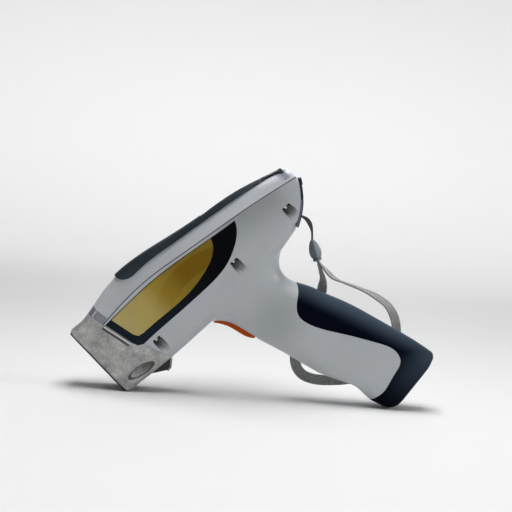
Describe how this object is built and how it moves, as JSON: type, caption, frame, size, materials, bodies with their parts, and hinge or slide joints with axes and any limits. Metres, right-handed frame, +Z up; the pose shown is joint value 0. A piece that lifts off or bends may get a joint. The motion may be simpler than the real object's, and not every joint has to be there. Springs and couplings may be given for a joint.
{
  "type": "handheld x-ray fluorescence analyzer",
  "caption": "Pistol-shaped handheld x-ray fluorescence analyzer with cast nose, tilting display, trigger, slide-out battery and wrist strap.",
  "frame": {"origin": "Under the middle of the instrument's box, on the table it stands on, without its strap.", "axes": "+X from the nose towards the rear of the display and the battery, +Y across to the side where the strap hangs, +Z up as it rests on its nose's lower edge and the heel of its grip."},
  "size_m": [0.3428, 0.0916, 0.2189],
  "materials": {
    "grey_housing": "fine spark-eroded grain",
    "dark_gasket": "matte",
    "navy_rubber": "soft matte",
    "smoke_lens": "polished, translucent",
    "lilac_lens": "polished, translucent",
    "dark_inlay": "satin",
    "gold_label": "printed film with soft arcs",
    "cast_nose": "raw mottled casting",
    "dark_steel": "blackened",
    "bright_steel": "turned",
    "pale_trim": "satin",
    "black_plate": "matte",
    "clear_film": "thin clear film",
    "infrared_window": "polished, dark",
    "orange_trigger": "satin",
    "black_plastic": "fine grain",
    "dark_frame": "satin",
    "screen_glass": "polished, anti-glare",
    "circuit_board": "solder mask",
    "dark_trim": "soft matte",
    "tube_steel": "turned",
    "raw_aluminium": "milled",
    "cord_dark": "braided",
    "bead_grey": "satin",
    "strap_grey": "woven webbing",
    "key_rubber": "soft matte",
    "enter_rubber": "soft matte",
    "power_rubber": "soft matte"
  },
  "bodies": {
    "instrument": {"upper_housing": "grey_housing", "lower_housing": "grey_housing", "parting_gasket": "dark_gasket", "grip_boot": "navy_rubber", "front_light_lens": "smoke_lens", "rear_light_lenses": "lilac_lens", "top_pad": "navy_rubber", "side_inlay_left": "dark_inlay", "side_inlay_right": "dark_inlay", "side_label_left": "gold_label", "side_label_right": "gold_label", "nose_casting": "cast_nose", "nose_screws": "dark_steel", "clip_bars": "pale_trim", "face_plate": "black_plate", "face_plate_screws": "bright_steel", "window_ring": "bright_steel", "window_film": "clear_film", "proximity_window": "infrared_window", "proximity_rim": "pale_trim", "trigger_pin": "bright_steel", "trigger_spring": "bright_steel", "trigger_switch": "black_plastic", "display_hinge_pin": "bright_steel", "key_panel": "dark_frame", "key_board": "circuit_board", "port_panel": "black_plastic", "data_port": "bright_steel", "power_jack": "black_plastic", "rear_trim": "dark_trim", "anchor_pin": "bright_steel", "port_cover_pin": "bright_steel", "battery_contacts": "black_plastic", "xray_tube": "tube_steel", "detector": "tube_steel", "filter_motor": "tube_steel", "head_bracket": "raw_aluminium", "chassis": "raw_aluminium", "main_board": "circuit_board", "processor_board": "circuit_board", "heat_sink": "raw_aluminium", "high_voltage_module": "black_plastic", "housing_screws": "dark_steel", "lanyard_cord": "cord_dark", "strap_bead": "bead_grey", "wrist_strap": "strap_grey"},
    "display": {"display_frame": "dark_frame", "display_screen": "screen_glass"},
    "trigger_lever": {"trigger": "orange_trigger"},
    "port_flap": {"port_cover": "dark_trim"},
    "battery": {"battery_pack": "black_plastic", "battery_cap": "navy_rubber"},
    "battery_button": {"battery_latch": "pale_trim"},
    "filters": {"filter_wheel": "raw_aluminium"},
    "up_key_cap": {"up_key": "key_rubber"},
    "down_key_cap": {"down_key": "key_rubber"},
    "left_key_cap": {"left_key": "key_rubber"},
    "right_key_cap": {"right_key": "key_rubber"},
    "enter_key_cap": {"enter_key": "enter_rubber"},
    "power_key_cap": {"power_key": "power_rubber"}
  },
  "joints": [
    {"name": "display_tilt", "type": "hinge", "parent": "instrument", "child": "display", "pos_m": [-0.00749, 0, 0.20124], "axis": [0, 1, 0], "range_deg": [0, 60]},
    {"name": "trigger_pull", "type": "hinge", "parent": "instrument", "child": "trigger_lever", "pos_m": [-0.02312, 0, 0.0765], "axis": [0, -1, 0], "range_deg": [0, 8], "stiffness_Nm_per_rad": 0.25, "springref_deg": -3.44},
    {"name": "port_cover_swing", "type": "hinge", "parent": "instrument", "child": "port_flap", "pos_m": [0.03622, 0, 0.19017], "axis": [0, 1, 0], "range_deg": [0, 100]},
    {"name": "battery_slide", "type": "slide", "parent": "instrument", "child": "battery", "axis": [0.9082, 0, -0.4186], "range_m": [0, 0.14]},
    {"name": "battery_button_press", "type": "slide", "parent": "battery", "child": "battery_button", "axis": [-0.8247, 0, 0.5656], "range_m": [0, 0.0012], "stiffness_N_per_m": 400, "springref_m": -0.0005},
    {"name": "filter_wheel_turn", "type": "hinge", "parent": "instrument", "child": "filters", "pos_m": [-0.11983, 0.004, 0.02618], "axis": [0.6749, 0, 0.7379], "continuous": true},
    {"name": "up_key_press", "type": "slide", "parent": "instrument", "child": "up_key_cap", "axis": [0.5583, 0, -0.8297], "range_m": [0, 0.0007], "stiffness_N_per_m": 350, "springref_m": -0.0004},
    {"name": "down_key_press", "type": "slide", "parent": "instrument", "child": "down_key_cap", "axis": [0.5583, 0, -0.8297], "range_m": [0, 0.0007], "stiffness_N_per_m": 350, "springref_m": -0.0004},
    {"name": "left_key_press", "type": "slide", "parent": "instrument", "child": "left_key_cap", "axis": [0.5583, 0, -0.8297], "range_m": [0, 0.0007], "stiffness_N_per_m": 350, "springref_m": -0.0004},
    {"name": "right_key_press", "type": "slide", "parent": "instrument", "child": "right_key_cap", "axis": [0.5583, 0, -0.8297], "range_m": [0, 0.0007], "stiffness_N_per_m": 350, "springref_m": -0.0004},
    {"name": "enter_key_press", "type": "slide", "parent": "instrument", "child": "enter_key_cap", "axis": [0.5583, 0, -0.8297], "range_m": [0, 0.0007], "stiffness_N_per_m": 350, "springref_m": -0.0004},
    {"name": "power_key_press", "type": "slide", "parent": "instrument", "child": "power_key_cap", "axis": [0.5583, 0, -0.8297], "range_m": [0, 0.0007], "stiffness_N_per_m": 350, "springref_m": -0.0004}
  ]
}
